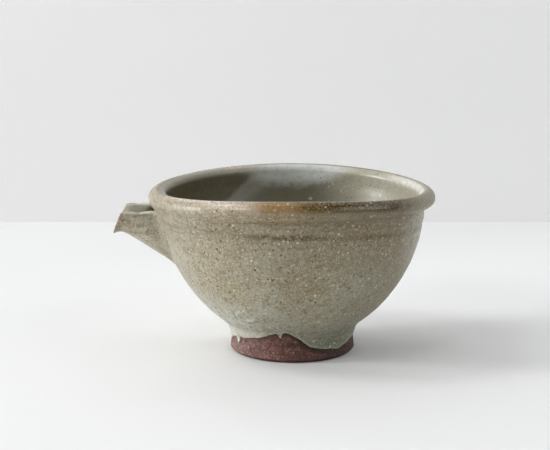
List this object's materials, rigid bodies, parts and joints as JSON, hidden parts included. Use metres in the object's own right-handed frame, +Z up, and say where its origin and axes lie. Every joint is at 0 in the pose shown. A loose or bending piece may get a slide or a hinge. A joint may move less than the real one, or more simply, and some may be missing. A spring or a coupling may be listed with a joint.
{
  "type": "katakuchi sake pourer",
  "caption": "Wheel-thrown stoneware pouring bowl with a rolled lip, a bare turned foot and an open spout below the rim, coated in a grey-green ash glaze.",
  "frame": {"origin": "centre of the foot ring's base, on the bowl's axis", "axes": "+Z up the bowl's axis, -X towards the spout's pouring lip"},
  "size_m": [0.1372, 0.12, 0.0715],
  "materials": {
    "stoneware_clay": "matte",
    "ash_glaze": "satin",
    "inside_glaze": "gloss",
    "iron_rim_glaze": "satin"
  },
  "bodies": {
    "root": {"bowl_wall": "stoneware_clay", "foot_ring": "stoneware_clay", "rolled_rim": "stoneware_clay", "spout": "stoneware_clay", "luting_coil": "stoneware_clay", "inner_glaze": "inside_glaze", "outer_glaze": "ash_glaze", "rim_glaze": "iron_rim_glaze", "spout_glaze": "ash_glaze"}
  },
  "joints": []
}
